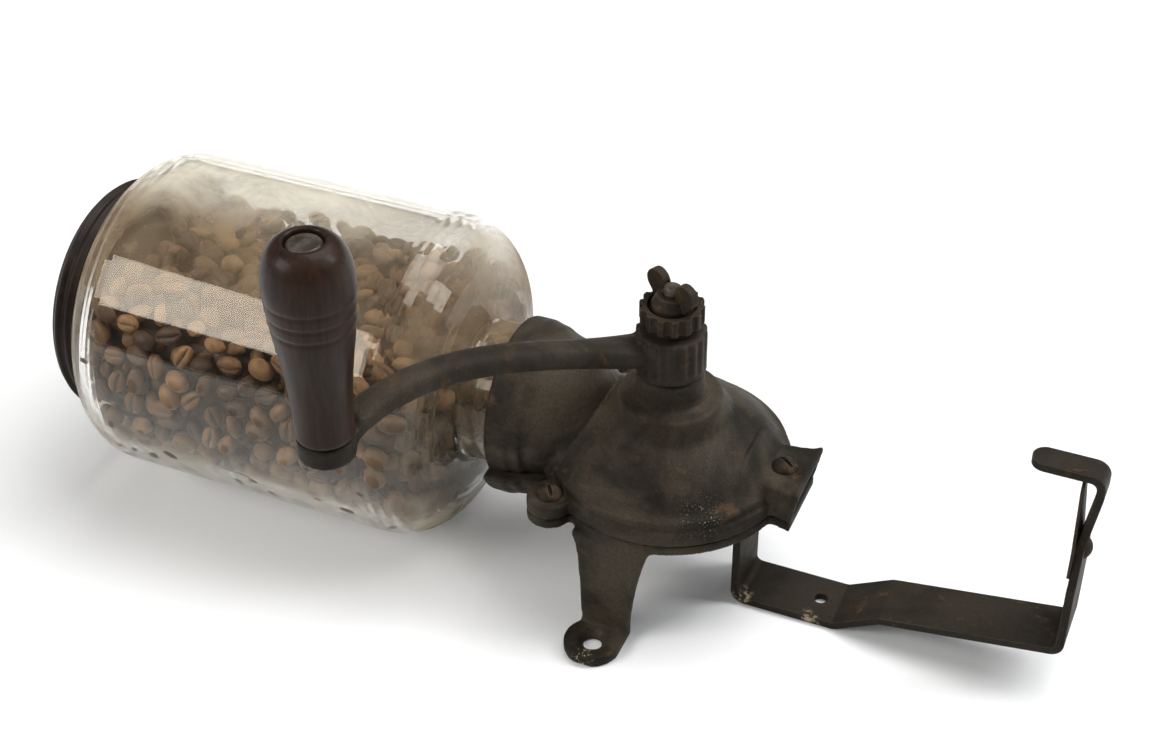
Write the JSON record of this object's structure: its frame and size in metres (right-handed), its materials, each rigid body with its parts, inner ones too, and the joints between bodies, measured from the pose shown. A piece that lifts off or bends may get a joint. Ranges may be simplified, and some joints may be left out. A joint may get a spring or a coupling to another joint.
{
  "type": "wall-mounted manual coffee grinder",
  "caption": "Wall-mounted hand coffee grinder: glass bean jar, domed iron burr casing with spout, bowed crank with turned wooden handle, adjusting nuts and a strap bracket for the cup.",
  "frame": {"origin": "in the wall plane, midway between the two wall-screw holes in the feet", "axes": "+X from the jar's cap to the cup bracket, which is down when it hangs on a wall; +Z out of the wall, along the crank axis; the part lies on its back as in the picture"},
  "size_m": [0.3992, 0.2049, 0.2119],
  "materials": {
    "glass": "clear, dusty inside",
    "beans": "roasted beans, satin",
    "cap_lacquer": "dark lacquer",
    "casing_iron": "brown patina",
    "fastener_steel": "dull, browned",
    "burr_iron": "ground",
    "shaft_steel": "worn",
    "crank_iron": "brown patina",
    "handle_wood": "dark satin varnish",
    "nut_iron": "brown patina",
    "strap_steel": "brown patina",
    "spring_steel": "brown patina"
  },
  "bodies": {
    "base": {"glass_jar": "glass", "bean_fill": "beans", "rear_casing": "casing_iron", "front_cover": "casing_iron", "cover_screw_near": "fastener_steel", "cover_screw_far": "fastener_steel", "cover_screw_spout": "fastener_steel", "outer_burr": "burr_iron", "bracket_strap": "strap_steel", "strap_rivet_near": "fastener_steel", "strap_rivet_far": "fastener_steel", "cup_spring": "spring_steel", "leaf_rivet": "fastener_steel"},
    "cap": {"jar_cap": "cap_lacquer"},
    "crank": {"crank_arm": "crank_iron", "handle_pin": "shaft_steel"},
    "handle": {"wooden_handle": "handle_wood"},
    "adjuster": {"adjusting_nut": "nut_iron"},
    "spindle": {"drive_shaft": "shaft_steel", "inner_burr": "burr_iron", "burr_pin": "fastener_steel"},
    "wing": {"wing_nut": "nut_iron"}
  },
  "joints": [
    {"name": "crank_turn", "type": "hinge", "parent": "base", "child": "crank", "pos_m": [0.0085, 0, 0.1], "axis": [0, 0, 1], "continuous": true},
    {"name": "handle_spin", "type": "hinge", "parent": "crank", "child": "handle", "pos_m": [-0.05947, -0.1257, 0.17], "axis": [0, 0, 1], "continuous": true},
    {"name": "adjuster_turn", "type": "hinge", "parent": "crank", "child": "adjuster", "pos_m": [0.0085, 0, 0.12], "axis": [0, 0, 1], "range_deg": [0, 360]},
    {"name": "burr_gap", "type": "slide", "parent": "crank", "child": "spindle", "axis": [0, 0, 1], "range_m": [0, 0.00125]},
    {"name": "wing_nut_turn", "type": "hinge", "parent": "spindle", "child": "wing", "pos_m": [0.0085, 0, 0.125], "axis": [0, 0, 1], "range_deg": [0, 360]},
    {"name": "cap_lift", "type": "slide", "parent": "base", "child": "cap", "axis": [-1, 0, 0], "range_m": [0, 0.045]}
  ],
  "couplings": [
    {"joint": "adjuster_turn", "follows": "burr_gap", "rad_per_m": 5026.5}
  ]
}
